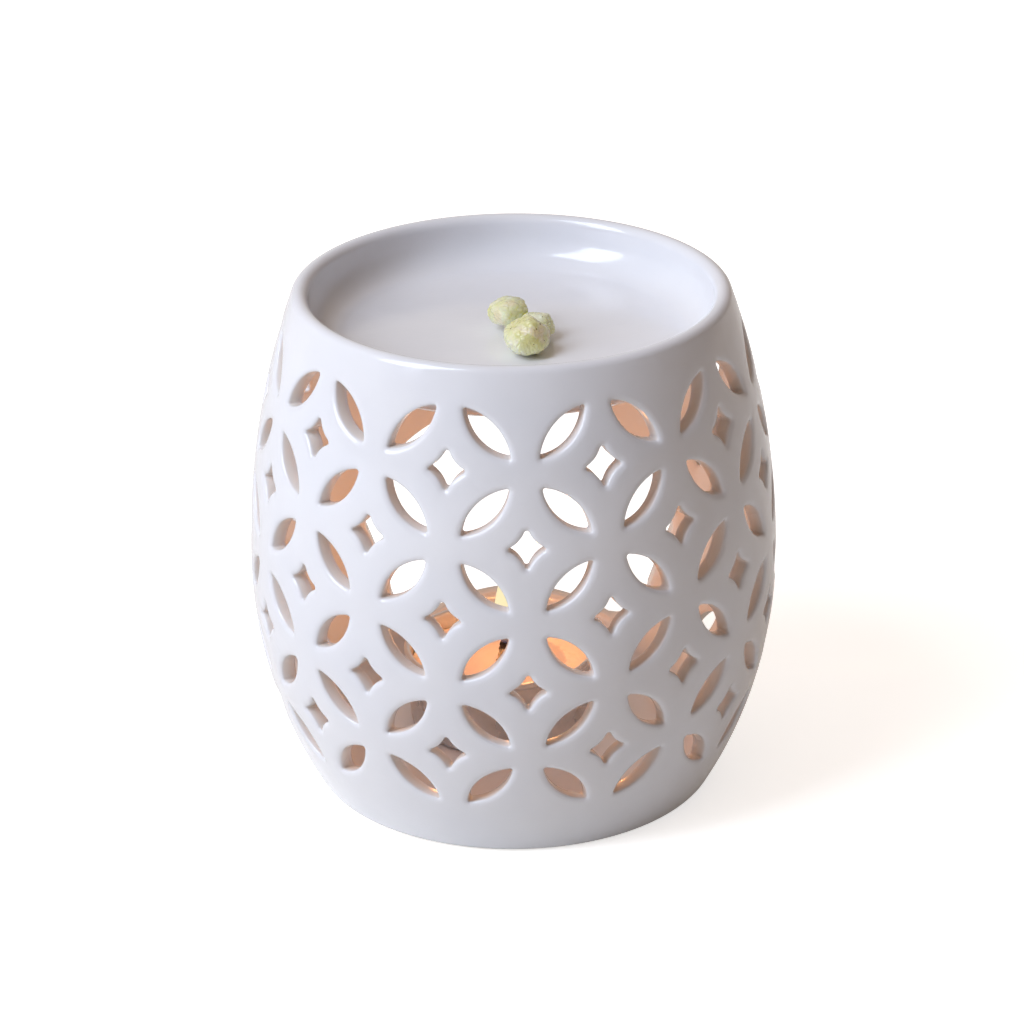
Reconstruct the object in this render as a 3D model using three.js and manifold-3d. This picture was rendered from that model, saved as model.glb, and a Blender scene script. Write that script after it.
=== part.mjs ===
// Porcelain oil burner: a pierced, barrel-shaped pot with a shallow oil dish in its top,
// a tea light on its floor, put in through a wide opening in the back,
// and a few tears of resin in the dish.
// Millimetres, +Z up. The origin is the centre of the foot, and the opening faces +Y.
import * as THREE from "three";
import { mergeGeometries, mergeVertices } from "three/addons/utils/BufferGeometryUtils.js";
import Module from "manifold-3d";

// Pot: outline
const bodyRadius = 52;
const bodyHeight = 102.4;
const bellyHeight = 46.5;
const shoulderBow = 165;
const skirtBow = 92;
const wall = 3.5;

// Pot: foot and floor
const footRound = 3;
const footWidth = 5;
const footDepth = 2.5;
const floorThickness = 4.5;
const floorFillet = 5;

// Oil dish
const dishDepth = 9.6;
const dishFillet = 6.5;
const dishThickness = 3.2;
const resinCircle = 19;

// Pierced lattice: rows of petals with concave stars between them
const starsPerRow = 10;
const rowPitch = 14.43;
const rimToLattice = 4.3;
const petalLength = 13.4;
const petalWidth = 5.5;
const petalTipWidth = 0.9;
const petalTilt = Math.PI / 4;
const starWidth = 7.6;
const starHeight = 8.4;
const starHollow = 0.85;

// Rear opening, a little off the middle of the lattice, towards +X
const archOffset = 3;
const archHalfWidth = 31.8;
const archSpring = 35;
const archTop = 58.4;
const archFootHalfWidth = 27;
const archCornerRound = 8;
const sillHeight = 17;
const sillCrown = 3.5;
const plainBand = 9.6;

// Tea light
const cupRadius = 19;
const cupFootRadius = 18.4;
const cupHeight = 16;
const cupWall = 0.5;
const cupBead = 0.7;
const cupPlace = new THREE.Vector2(-2.4, 5.5);
const waxBelowRim = 3.4;
const waxDimple = 0.5;
const tabRadius = 7.5;
const tabThickness = 0.4;
const collarRadius = 1.9;
const collarHeight = 3.6;
const wickRadius = 0.8;
const wickAboveWax = 6.5;
const wickLean = 1.6;

// Clearances
const seatGap = 0.3;
const cutMargin = 4;

// Facets: two to a panel of the lattice, so that the seams of all round faces meet
const roundSteps = 4 * starsPerRow;
const filletSteps = 3;

const wasm = await Module();
wasm.setup();

const lipRadius = wall / 2;
const lipHeight = bodyHeight - lipRadius;
const floorTop = footDepth + floorThickness;
const dishFloor = bodyHeight - dishDepth;
const cupBase = floorTop + seatGap;
const candleCircle = cupPlace.length() + cupRadius + cupBead + seatGap;
const halfStep = Math.PI / starsPerRow;

// Solids and meshes

// The closed solid that one or more geometries bound together
function solidFrom(...geometries) {
  const bare = geometries.map((geometry) => {
    const faces = geometry.index ? geometry.toNonIndexed() : geometry;
    faces.deleteAttribute("normal");
    faces.deleteAttribute("uv");
    return faces;
  });
  const merged = mergeVertices(mergeGeometries(bare), 1e-4);
  return new wasm.Manifold(
    new wasm.Mesh({
      numProp: 3,
      vertProperties: merged.attributes.position.array,
      triVerts: new Uint32Array(merged.index.array),
    }),
  );
}

function meshFrom(name, solid, material) {
  const { vertProperties, triVerts } = solid.getMesh();
  const geometry = new THREE.BufferGeometry();
  geometry.setAttribute("position", new THREE.BufferAttribute(vertProperties, 3));
  geometry.setIndex(new THREE.BufferAttribute(triVerts, 1));
  geometry.computeVertexNormals();
  const mesh = new THREE.Mesh(geometry, material);
  mesh.name = name;
  return mesh;
}

// A profile of radius and height, listed anticlockwise, spun about +Z
function lathe(profile, steps = roundSteps) {
  const geometry = new THREE.LatheGeometry(profile, steps);
  geometry.rotateX(Math.PI / 2);
  return geometry;
}

function revolve(profile, steps) {
  return solidFrom(lathe([...profile, profile[0].clone()], steps));
}

function point(radius, height) {
  return new THREE.Vector2(radius, height);
}

function arc(centre, radius, start, end, steps = filletSteps) {
  const points = [];
  for (let i = 0; i <= steps; i++) {
    const angle = start + ((end - start) * i) / steps;
    points.push(point(centre.x + radius * Math.cos(angle), centre.y + radius * Math.sin(angle)));
  }
  return points;
}

// Pot: the outline is two bows that meet, upright, at the belly

function radiusAt(height, depth = 0) {
  const bow = height > bellyHeight ? shoulderBow : skirtBow;
  const across = Math.sqrt((bow - depth) ** 2 - (height - bellyHeight) ** 2);
  return bodyRadius - bow + across;
}

function angleOnBow(bow, depth, height) {
  return Math.asin((height - bellyHeight) / (bow - depth));
}

// The fillet round the chamber's floor
const cornerHeight = floorTop + floorFillet;
const cornerCentre = point(radiusAt(cornerHeight, wall + floorFillet), cornerHeight);
const cornerAngle = angleOnBow(skirtBow, wall + floorFillet, cornerHeight);
const cornerTop = cornerHeight + floorFillet * Math.sin(cornerAngle);

// The lattice hangs from the rim, in as many rows as the wall takes above that fillet
const latticeTop = bodyHeight - rimToLattice;
const latticeRows = Math.floor((latticeTop - cornerTop) / rowPitch);
const latticeBottom = latticeTop - latticeRows * rowPitch;

function recessProfile() {
  const recessRadius = radiusAt(footRound, footRound) - footWidth;
  const chamfer = footDepth / 2;
  return [
    point(0, footDepth),
    point(recessRadius - chamfer, footDepth),
    point(recessRadius, footDepth - chamfer),
    point(recessRadius, 0),
  ];
}

function footProfile() {
  const centre = point(radiusAt(footRound, footRound), footRound);
  const angle = angleOnBow(skirtBow, footRound, footRound);
  return [
    ...arc(centre, footRound, -Math.PI / 2, angle),
    point(radiusAt(latticeBottom), latticeBottom),
  ];
}

const lipCentre = point(radiusAt(lipHeight, lipRadius), lipHeight);
const dishRadius = lipCentre.x - lipRadius;

function lipProfile() {
  const angle = angleOnBow(shoulderBow, lipRadius, lipHeight);
  return [
    point(radiusAt(latticeTop), latticeTop),
    ...arc(lipCentre, lipRadius, angle, Math.PI / 2).slice(0, -1),
    ...arc(lipCentre, lipRadius, Math.PI / 2, Math.PI + angle),
    point(radiusAt(latticeTop, wall), latticeTop),
  ];
}

// The tea light stands within a circle on the floor, and the rest of the floor is clear
function floorProfile() {
  return [
    point(radiusAt(latticeBottom, wall), latticeBottom),
    ...arc(cornerCentre, floorFillet, cornerAngle, -Math.PI / 2),
    point(candleCircle, floorTop),
    point(0, floorTop),
  ];
}

// Oil dish: a bowl of even thickness under the lip, and the hollow in it

function dishProfile(depth) {
  const centre = point(dishRadius - dishFillet, dishFloor + dishFillet);
  return [
    point(0, dishFloor - depth),
    ...arc(centre, dishFillet + depth, -Math.PI / 2, 0, 4),
  ];
}

function makeDishBowl() {
  const profile = dishProfile(dishThickness);
  return revolve([...profile, lipCentre, point(0, lipHeight)]);
}

// The resin lies within a circle on the dish's floor
function makeDishHollow() {
  const [middle, ...side] = dishProfile(0);
  return revolve([
    middle,
    point(resinCircle, dishFloor),
    ...side,
    point(dishRadius, bodyHeight + cutMargin),
    point(0, bodyHeight + cutMargin),
  ]);
}

// Lattice: the outlines of its holes

// A leaf: two arcs that meet in blunt tips
function petalOutline() {
  const half = petalLength / 2;
  const bulge = petalWidth / 2;
  const rise = bulge - petalTipWidth / 2;
  const bow = (half ** 2 + rise ** 2) / (2 * rise);
  const sweep = Math.asin(half / bow);
  const side = arc(point(0, bulge - bow), bow, Math.PI / 2 - sweep, Math.PI / 2 + sweep, 4);
  return [...side, ...side.map((p) => point(-p.x, -p.y))];
}

// The quarter of a hollow-sided diamond that lies towards the given corner, from tip to tip
function starQuarter(xSign, ySign) {
  const across = starWidth / 2;
  const up = starHeight / 2;
  const side = Math.hypot(across, up);
  const sink = point(starHollow * up, starHollow * across).divideScalar(side);
  const middle = point(across / 2, up / 2).sub(sink);
  return [point(across, 0), middle, point(0, up)].map((p) => point(p.x * xSign, p.y * ySign));
}

// Rear opening, seen from behind: a low arch on sides that lean in to a crowned sill

function archOutline(grow = 0) {
  const halfWidth = archHalfWidth + grow;
  const rise = archTop - archSpring + grow;
  const round = archCornerRound + grow;
  const sill = sillHeight - grow;
  const corner = point(archFootHalfWidth - archCornerRound, sill - sillCrown + round);
  const points = [];
  const steps = 16;
  for (let i = 0; i <= steps; i++) {
    const angle = (Math.PI * i) / steps;
    points.push(point(halfWidth * Math.cos(angle), archSpring + rise * Math.sin(angle)));
  }
  points.push(...arc(point(-corner.x, corner.y), round, Math.PI, 1.5 * Math.PI));
  for (const share of [-0.5, 0, 0.5]) {
    points.push(point(corner.x * share, sill - sillCrown * share ** 2));
  }
  points.push(...arc(corner, round, 1.5 * Math.PI, 2 * Math.PI));
  return points.map((p) => point(p.x - archOffset, p.y));
}

function isInside(outline, x, y) {
  let inside = false;
  outline.forEach((a, i) => {
    const b = outline[(i + 1) % outline.length];
    const crosses = a.y > y !== b.y > y;
    if (crosses && x < a.x + ((b.x - a.x) * (y - a.y)) / (b.y - a.y)) inside = !inside;
  });
  return inside;
}

// A hole is left out where its edge would come within the plain band round the opening
const petalShape = petalOutline();
const openingBand = archOutline(plainBand);

function clearsOpening(outline, azimuth, height) {
  return outline.every((p) => {
    const around = azimuth + p.x / radiusAt(height);
    const behind = Math.cos(around) < 0;
    return !behind || !isInside(openingBand, -radiusAt(height) * Math.sin(around), height + p.y);
  });
}

// Lattice: a grid of bent panels, each with a petal in it and quarters of stars at its corners

// Stars stand on every other corner of the panels, but not on the first and last seam
function hasStar(column, seam) {
  if (seam === 0 || seam === latticeRows || (column + seam) % 2) return false;
  const outline = [...starQuarter(1, 1), ...starQuarter(-1, -1)];
  return clearsOpening(outline, column * halfStep, latticeTop - seam * rowPitch);
}

// A panel, laid flat at the belly's radius, and its holes at their own width wherever it lies
function flatPoint(azimuth, height, offset) {
  const shrink = bodyRadius / radiusAt(height);
  return point(azimuth * bodyRadius + offset.x * shrink, height + offset.y);
}

function bentPoint(flat, depth) {
  const azimuth = flat.x / bodyRadius;
  const radius = radiusAt(flat.y, depth);
  return [radius * Math.sin(azimuth), -radius * Math.cos(azimuth), flat.y];
}

// A panel's outline, anticlockwise from its lower left, with the edges that run along a star
function panelOutline(row, column) {
  const middle = latticeTop - (row + 0.5) * rowPitch;
  const corners = [
    { column, seam: row + 1, xSign: 1, ySign: 1 },
    { column: column + 1, seam: row + 1, xSign: -1, ySign: 1 },
    { column: column + 1, seam: row, xSign: -1, ySign: -1 },
    { column, seam: row, xSign: 1, ySign: -1 },
  ];
  const points = [];
  const starEdges = [];
  for (const { column: x, seam, xSign, ySign } of corners) {
    const azimuth = x * halfStep;
    const height = latticeTop - seam * rowPitch;
    const alongSeam = xSign === ySign;
    if (hasStar(x, seam)) {
      const quarter = starQuarter(xSign, ySign);
      if (alongSeam) quarter.reverse();
      quarter.forEach((p, i) => {
        if (i > 0) starEdges.push(points.length - 1);
        points.push(flatPoint(azimuth, height, p));
      });
    } else {
      points.push(flatPoint(azimuth, height, point(0, 0)));
    }
    const beside = alongSeam ? azimuth + (xSign * halfStep) / 2 : azimuth;
    points.push(flatPoint(beside, alongSeam ? height : middle, point(0, 0)));
  }
  return { points, starEdges };
}

function petalHole(row, column) {
  const azimuth = (column + 0.5) * halfStep;
  const height = latticeTop - (row + 0.5) * rowPitch;
  const tilt = (row + column) % 2 ? -petalTilt : petalTilt;
  const outline = petalShape.map((p) => p.clone().rotateAround(point(0, 0), tilt));
  if (!clearsOpening(outline, azimuth, height)) return [];
  return outline.map((p) => flatPoint(azimuth, height, p));
}

// Faces of a panel laid flat: round its petal, or else a fan about its middle
function panelFaces(row, column, points, hole) {
  if (hole.length) {
    const flat = [...points, ...hole];
    return THREE.ShapeUtils.triangulateShape(points, [hole]).map((face) => face.map((i) => flat[i]));
  }
  const middle = flatPoint((column + 0.5) * halfStep, latticeTop - (row + 0.5) * rowPitch, point(0, 0));
  return points.map((p, i) => [middle, p, points[(i + 1) % points.length]]);
}

// The outside and inside of one panel, and the cut faces of its holes
function bentPanel(row, column) {
  const { points, starEdges } = panelOutline(row, column);
  const hole = petalHole(row, column);
  const positions = [];
  const addFace = (...corners) => corners.forEach(([p, depth]) => positions.push(...bentPoint(p, depth)));
  const addCut = (a, b) => {
    addFace([a, 0], [a, wall], [b, wall]);
    addFace([a, 0], [b, wall], [b, 0]);
  };
  for (const [a, b, c] of panelFaces(row, column, points, hole)) {
    const clockwise = b.clone().sub(a).cross(c.clone().sub(a)) < 0;
    const [second, third] = clockwise ? [c, b] : [b, c];
    addFace([a, 0], [second, 0], [third, 0]);
    addFace([a, wall], [third, wall], [second, wall]);
  }
  starEdges.forEach((i) => addCut(points[i], points[i + 1]));
  hole.forEach((p, i) => addCut(hole[(i + 1) % hole.length], p));
  const geometry = new THREE.BufferGeometry();
  return geometry.setAttribute("position", new THREE.Float32BufferAttribute(positions, 3));
}

function makeLattice() {
  const panels = [];
  for (let row = 0; row < latticeRows; row++) {
    for (let column = 0; column < 2 * starsPerRow; column++) {
      panels.push(bentPanel(row, column));
    }
  }
  return panels;
}

function makeRearOpening() {
  const shape = new THREE.Shape(archOutline());
  const geometry = new THREE.ExtrudeGeometry(shape, {
    depth: bodyRadius + cutMargin,
    bevelEnabled: false,
  });
  geometry.rotateX(Math.PI / 2);
  geometry.rotateZ(Math.PI);
  return solidFrom(geometry);
}

// One casting: the pot with its pierced wall, and the oil dish hung from its lip
function makeBurnerBody() {
  const pot = solidFrom(
    lathe([...recessProfile(), ...footProfile()]),
    ...makeLattice(),
    lathe(lipProfile()),
    lathe(floorProfile()),
  );
  return pot.subtract(makeRearOpening()).add(makeDishBowl()).subtract(makeDishHollow());
}

// Tea light

function cupInnerRadius(height) {
  const share = height / cupHeight;
  return cupFootRadius + (cupRadius - cupFootRadius) * share - cupWall;
}

function makeTealightCup() {
  const rim = cupHeight - cupBead;
  return revolve([
    point(0, 0),
    point(cupFootRadius - cupWall, 0),
    point(cupFootRadius, cupWall),
    ...arc(point(cupRadius, rim), cupBead, -Math.PI / 3, Math.PI, 5),
    point(cupInnerRadius(cupWall), cupWall),
    point(0, cupWall),
  ]);
}

const tabBase = cupWall + seatGap;
const waxTop = cupHeight - waxBelowRim;

function makeWickTab() {
  const bore = wickRadius + seatGap;
  return revolve([
    point(bore, tabBase),
    point(tabRadius, tabBase),
    point(tabRadius, tabBase + tabThickness),
    point(collarRadius, tabBase + tabThickness),
    point(collarRadius, tabBase + collarHeight),
    point(bore, tabBase + collarHeight),
  ], 32);
}

// The wax fills the cup round the tab and its collar, with a shallow pool round the wick
function makeTealightWax() {
  const bore = wickRadius + seatGap;
  const overTab = tabBase + tabThickness + seatGap;
  const overCollar = tabBase + collarHeight + seatGap;
  return revolve([
    point(collarRadius + seatGap, overTab),
    point(tabRadius + seatGap, overTab),
    point(tabRadius + seatGap, tabBase),
    point(cupInnerRadius(tabBase) - seatGap, tabBase),
    point(cupInnerRadius(waxTop) - seatGap, waxTop),
    point(cupRadius * 0.8, waxTop - waxDimple * 0.6),
    point(cupRadius * 0.4, waxTop - waxDimple),
    point(bore, waxTop - waxDimple),
    point(bore, overCollar),
    point(collarRadius + seatGap, overCollar),
  ]);
}

// The wick stands in the collar and its burnt end leans over
function makeTealightWick() {
  const top = waxTop + wickAboveWax;
  const path = new THREE.CatmullRomCurve3([
    new THREE.Vector3(0, 0, tabBase),
    new THREE.Vector3(0, 0, waxTop),
    new THREE.Vector3(wickLean * 0.3, 0, waxTop + wickAboveWax / 2),
    new THREE.Vector3(wickLean, 0, top),
  ]);
  const section = new THREE.Shape().absarc(0, 0, wickRadius, 0, 2 * Math.PI);
  const geometry = new THREE.ExtrudeGeometry(section, {
    steps: 10,
    curveSegments: 5,
    extrudePath: path,
  });
  return solidFrom(geometry);
}

// Resin: a lumpy tear with a worn flat under it

function makeTear({ place, size, turn, seed }) {
  const geometry = new THREE.IcosahedronGeometry(0.5, 4);
  const position = geometry.attributes.position;
  const v = new THREE.Vector3();
  for (let i = 0; i < position.count; i++) {
    v.fromBufferAttribute(position, i);
    const lumps = Math.sin(5 * v.x + seed) * Math.cos(6 * v.y - seed) + Math.sin(7 * v.z + 2 * seed);
    v.multiplyScalar(1 + 0.07 * lumps);
    v.multiply(size);
    v.z = Math.max(v.z, -0.4 * size.z);
    position.setXYZ(i, v.x, v.y, v.z);
  }
  geometry.rotateZ(turn);
  geometry.translate(place.x, place.y, dishFloor + seatGap + 0.4 * size.z);
  return solidFrom(geometry);
}

const tears = {
  resin_tear_back: {
    place: point(-0.5, 1.5),
    size: new THREE.Vector3(8.2, 8.4, 7.2),
    turn: 0.4,
    seed: 1,
  },
  resin_tear_front: {
    place: point(2.2, -11),
    size: new THREE.Vector3(9.2, 11, 7.8),
    turn: 0.2,
    seed: 2.6,
  },
  resin_tear_small: {
    place: point(5, -3.4),
    size: new THREE.Vector3(5.6, 7.6, 5.6),
    turn: -0.5,
    seed: 4.1,
  },
};

// A tear that leans on its neighbours is worn to them, a gap apart
function makeTears() {
  const made = new Map();
  for (const [name, tear] of Object.entries(tears)) {
    let solid = makeTear(tear);
    for (const neighbour of made.keys()) {
      const size = tears[neighbour].size.clone().addScalar(2 * seatGap);
      solid = solid.subtract(makeTear({ ...tears[neighbour], size }));
    }
    made.set(name, solid);
  }
  return made;
}

// Materials

const porcelain = new THREE.MeshStandardMaterial({ color: 0xe9eaee, roughness: 0.22, metalness: 0 });
const aluminium = new THREE.MeshStandardMaterial({ color: 0xc4c6c8, roughness: 0.35, metalness: 1 });
const wax = new THREE.MeshStandardMaterial({ color: 0xf4efe2, roughness: 0.35, metalness: 0 });
const steel = new THREE.MeshStandardMaterial({ color: 0x9da0a3, roughness: 0.4, metalness: 1 });
const wickCotton = new THREE.MeshStandardMaterial({ color: 0x2b2622, roughness: 0.95, metalness: 0 });
const resin = new THREE.MeshStandardMaterial({ color: 0xc6c68d, roughness: 0.5, metalness: 0 });

// Assembly

function makeTealight() {
  const tealight = new THREE.Group();
  tealight.add(
    meshFrom("tealight_cup", makeTealightCup(), aluminium),
    meshFrom("tealight_wax", makeTealightWax(), wax),
    meshFrom("wick_tab", makeWickTab(), steel),
    meshFrom("tealight_wick", makeTealightWick(), wickCotton),
  );
  tealight.position.set(cupPlace.x, cupPlace.y, cupBase);
  return tealight;
}

const burner = new THREE.Group();
burner.add(meshFrom("burner_body", makeBurnerBody(), porcelain));
burner.add(makeTealight());
for (const [name, solid] of makeTears()) {
  burner.add(meshFrom(name, solid, resin));
}

export default burner;
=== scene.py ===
import math

import bmesh
import bpy
from mathutils import Matrix, Vector, noise
from mathutils.geometry import delaunay_2d_cdt
from mathutils.kdtree import KDTree


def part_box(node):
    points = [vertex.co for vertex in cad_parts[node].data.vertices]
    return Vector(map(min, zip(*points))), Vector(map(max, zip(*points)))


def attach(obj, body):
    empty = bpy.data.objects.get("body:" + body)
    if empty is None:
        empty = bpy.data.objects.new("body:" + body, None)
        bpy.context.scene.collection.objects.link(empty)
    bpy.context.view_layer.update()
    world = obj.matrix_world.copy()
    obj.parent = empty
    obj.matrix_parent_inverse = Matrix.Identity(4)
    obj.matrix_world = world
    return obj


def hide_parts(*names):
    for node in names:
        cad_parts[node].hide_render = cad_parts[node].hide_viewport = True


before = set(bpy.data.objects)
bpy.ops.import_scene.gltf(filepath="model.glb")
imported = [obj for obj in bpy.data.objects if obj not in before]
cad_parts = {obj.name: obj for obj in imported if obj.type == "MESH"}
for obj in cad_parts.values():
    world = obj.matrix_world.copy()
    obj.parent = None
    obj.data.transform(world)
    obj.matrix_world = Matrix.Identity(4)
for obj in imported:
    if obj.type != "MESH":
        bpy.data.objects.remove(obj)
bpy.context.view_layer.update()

MM = 0.001

# Pot, as in the solid
BODY_RADIUS = 52 * MM
BODY_HEIGHT = 102.4 * MM
BELLY_HEIGHT = 46.5 * MM
SHOULDER_BOW = 165 * MM
SKIRT_BOW = 92 * MM
WALL = 3.5 * MM
FOOT_ROUND = 3 * MM
FOOT_WIDTH = 5 * MM
FOOT_DEPTH = 2.5 * MM
FLOOR_TOP = 7 * MM
FLOOR_FILLET = 5 * MM
DISH_DEPTH = 9.6 * MM
DISH_FLOOR = BODY_HEIGHT - DISH_DEPTH
DISH_FILLET = 6.5 * MM
DISH_THICKNESS = 3.2 * MM
LIP_RADIUS = WALL / 2
LIP_HEIGHT = BODY_HEIGHT - LIP_RADIUS

# Lattice: each hole is given as it is clear through the wall, between its soft edges
STARS_PER_ROW = 10
ROWS = 6
ROW_PITCH = 14.43 * MM
RIM_TO_LATTICE = 4.3 * MM
LATTICE_TOP = BODY_HEIGHT - RIM_TO_LATTICE
LATTICE_BOTTOM = LATTICE_TOP - ROWS * ROW_PITCH
HALF_STEP = math.pi / STARS_PER_ROW
PETAL_LENGTH = 12.5 * MM
PETAL_WIDTH = 4.6 * MM
PETAL_TIP = 0.45 * MM
PETAL_TILT = math.pi / 4
PETAL_DROP = 0.3 * MM
STAR_HALF_WIDTH = 4.4 * MM
STAR_HALF_HEIGHT = 4.85 * MM
STAR_HOLLOW = 0.95 * MM
STAR_TIP = 0.5 * MM
EDGE_BACK = 1.4 * MM
EDGE_DEPTH = 0.6 * MM

# Rear opening, a little off the middle of the lattice
ARCH_OFFSET = 3 * MM
ARCH_HALF_WIDTH = 31.8 * MM
ARCH_SPRING = 35 * MM
ARCH_TOP = 58.4 * MM
ARCH_FOOT_HALF_WIDTH = 27 * MM
ARCH_CORNER = 8 * MM
SILL_HEIGHT = 17 * MM
SILL_CROWN = 3.5 * MM
PLAIN_BAND = 9.6 * MM

# Fineness of the pot's mesh
ROUND_STEPS = 160
EDGE_STEPS = 5
LEVELS_PER_ROW = 7
WELD = 0.005 * MM


# Meshes

def linked(name, data):
    piece = bpy.data.objects.new(name, data)
    bpy.context.scene.collection.objects.link(piece)
    return piece


def mesh_object(name, vertices, faces):
    mesh = bpy.data.meshes.new(name)
    mesh.from_pydata(vertices, [], faces)
    mesh.validate()
    return linked(name, mesh)


def object_of(name, bm):
    """A piece with the shape of an open bmesh, which this closes."""
    mesh = bpy.data.meshes.new(name)
    bm.to_mesh(mesh)
    bm.free()
    return linked(name, mesh)


def shade_smooth(piece, angle=math.radians(40)):
    """Smooth faces, with a crisp line where they meet at more than the angle."""
    mesh = piece.data
    mesh.shade_smooth()
    bm = bmesh.new()
    bm.from_mesh(mesh)
    for edge in bm.edges:
        edge.smooth = not edge.is_manifold or edge.calc_face_angle(0) < angle
    bm.to_mesh(mesh)
    bm.free()


def join_meshes(name, pieces):
    """One mesh of several, welded where their borders meet."""
    bm = bmesh.new()
    for piece in pieces:
        bm.from_mesh(piece.data)
        bpy.data.objects.remove(piece)
    bmesh.ops.remove_doubles(bm, verts=bm.verts, dist=WELD)
    return object_of(name, bm)


def applied(piece):
    """Turns what the modifiers show into the piece's own mesh."""
    bpy.context.view_layer.update()
    shown = piece.evaluated_get(bpy.context.evaluated_depsgraph_get())
    mesh = bpy.data.meshes.new_from_object(shown)
    piece.modifiers.clear()
    piece.data = mesh
    return piece


def lathe(name, profile, steps=ROUND_STEPS):
    """A profile of radius and height, listed anticlockwise, spun about +Z."""
    vertices, rings = [], []
    for radius, height in profile:
        if radius < 1e-9:
            rings.append([len(vertices)] * steps)
            vertices.append((0, 0, height))
            continue
        rings.append(list(range(len(vertices), len(vertices) + steps)))
        for i in range(steps):
            angle = 2 * math.pi * i / steps
            vertices.append((radius * math.sin(angle), -radius * math.cos(angle), height))
    faces = []
    for low, high in zip(rings, rings[1:]):
        for i in range(steps):
            j = (i + 1) % steps
            corners = list(dict.fromkeys((low[i], low[j], high[j], high[i])))
            if len(corners) > 2:
                faces.append(corners)
    return mesh_object(name, vertices, faces)


def arc(centre, radius, start, end, steps):
    return [
        (centre[0] + radius * math.cos(a), centre[1] + radius * math.sin(a))
        for a in (start + (end - start) * i / steps for i in range(steps + 1))
    ]


# Pot: the outline is two bows that meet, upright, at the belly

def radius_at(height, depth=0.0):
    bow = SHOULDER_BOW if height > BELLY_HEIGHT else SKIRT_BOW
    across = math.sqrt((bow - depth) ** 2 - (height - BELLY_HEIGHT) ** 2)
    return BODY_RADIUS - bow + across


def bow_angle(bow, depth, height):
    return math.asin((height - BELLY_HEIGHT) / (bow - depth))


LIP_CENTRE = (radius_at(LIP_HEIGHT, LIP_RADIUS), LIP_HEIGHT)
DISH_RADIUS = LIP_CENTRE[0] - LIP_RADIUS


def foot_strip():
    """From the middle of the recess, round the foot and up to the lattice."""
    centre = (radius_at(FOOT_ROUND, FOOT_ROUND), FOOT_ROUND)
    ring = centre[0] - FOOT_WIDTH
    soft, cove = 0.5 * MM, FOOT_DEPTH / 2
    levels = 5
    heights = [FOOT_ROUND + (LATTICE_BOTTOM - FOOT_ROUND) * i / levels for i in range(1, levels + 1)]
    profile = [
        (0, FOOT_DEPTH),
        (ring / 2, FOOT_DEPTH),
        *arc((ring - cove, FOOT_DEPTH - cove), cove, math.pi / 2, 0, 4),
        *arc((ring + soft, soft), soft, math.pi, 1.5 * math.pi, 4),
        *arc(centre, FOOT_ROUND, -math.pi / 2, bow_angle(SKIRT_BOW, FOOT_ROUND, FOOT_ROUND), 10),
        *[(radius_at(h), h) for h in heights],
    ]
    return lathe("foot_strip", profile)


def floor_strip():
    """From the lattice down the inner wall, over the fillet, to the middle of the floor."""
    height = FLOOR_TOP + FLOOR_FILLET
    centre = (radius_at(height, WALL + FLOOR_FILLET), height)
    start = bow_angle(SKIRT_BOW, WALL + FLOOR_FILLET, height)
    profile = [
        (radius_at(LATTICE_BOTTOM, WALL), LATTICE_BOTTOM),
        *arc(centre, FLOOR_FILLET, start, -math.pi / 2, 10),
        (centre[0] * 0.6, FLOOR_TOP),
        (0, FLOOR_TOP),
    ]
    return lathe("floor_strip", profile)


def dish_arc(depth, steps=10):
    centre = (DISH_RADIUS - DISH_FILLET, DISH_FLOOR + DISH_FILLET)
    return arc(centre, DISH_FILLET + depth, 0, -math.pi / 2, steps)


def lip_and_dish_strip():
    """Over the lip and down to the middle of the dish."""
    angle = bow_angle(SHOULDER_BOW, LIP_RADIUS, LIP_HEIGHT)
    floor_radius = DISH_RADIUS - DISH_FILLET
    profile = [
        (radius_at(LATTICE_TOP), LATTICE_TOP),
        *arc(LIP_CENTRE, LIP_RADIUS, angle, math.pi, 16),
        *dish_arc(0),
        *[(floor_radius * share, DISH_FLOOR) for share in (0.66, 0.33, 0)],
    ]
    return lathe("lip_and_dish_strip", profile)


def thin_dish_strip():
    """A skin close under the dish, which closes the chamber until the dish gets its thickness."""
    skin = 0.6 * MM
    profile = [
        (0, DISH_FLOOR - skin),
        *reversed(dish_arc(skin)),
        (radius_at(LATTICE_TOP, WALL), LATTICE_TOP),
    ]
    return lathe("thin_dish_strip", profile)


def dish_thickness():
    """The body of the dish, which fills the tips of the top petals where it meets the wall."""
    overlap = 0.3 * MM
    profile = [
        (0, DISH_FLOOR - DISH_THICKNESS),
        *reversed(dish_arc(DISH_THICKNESS)),
        *dish_arc(overlap),
        (0, DISH_FLOOR - overlap),
    ]
    return lathe("dish_thickness", profile)


# Outlines of the holes: each point with its normal, which points into the porcelain

def petal_outline():
    half = PETAL_LENGTH / 2 - PETAL_TIP
    bulge = PETAL_WIDTH / 2
    bow = (half ** 2 + bulge ** 2 - PETAL_TIP ** 2) / (2 * (bulge - PETAL_TIP))
    sweep = math.atan2(half, bow - bulge)
    side_steps, tip_steps = 12, 4
    points = []
    for turn in (0, math.pi):
        for i in range(tip_steps):
            angle = turn + (math.pi / 2 - sweep) * (2 * i / tip_steps - 1)
            normal = Vector((math.cos(angle), math.sin(angle)))
            centre = Vector((half * math.cos(turn), 0))
            points.append((centre + PETAL_TIP * normal, normal))
        for i in range(side_steps):
            angle = turn + math.pi / 2 - sweep + 2 * sweep * i / side_steps
            normal = Vector((math.cos(angle), math.sin(angle)))
            centre = Vector((0, (bulge - bow) * math.cos(turn)))
            points.append((centre + bow * normal, normal))
    return points


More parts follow.
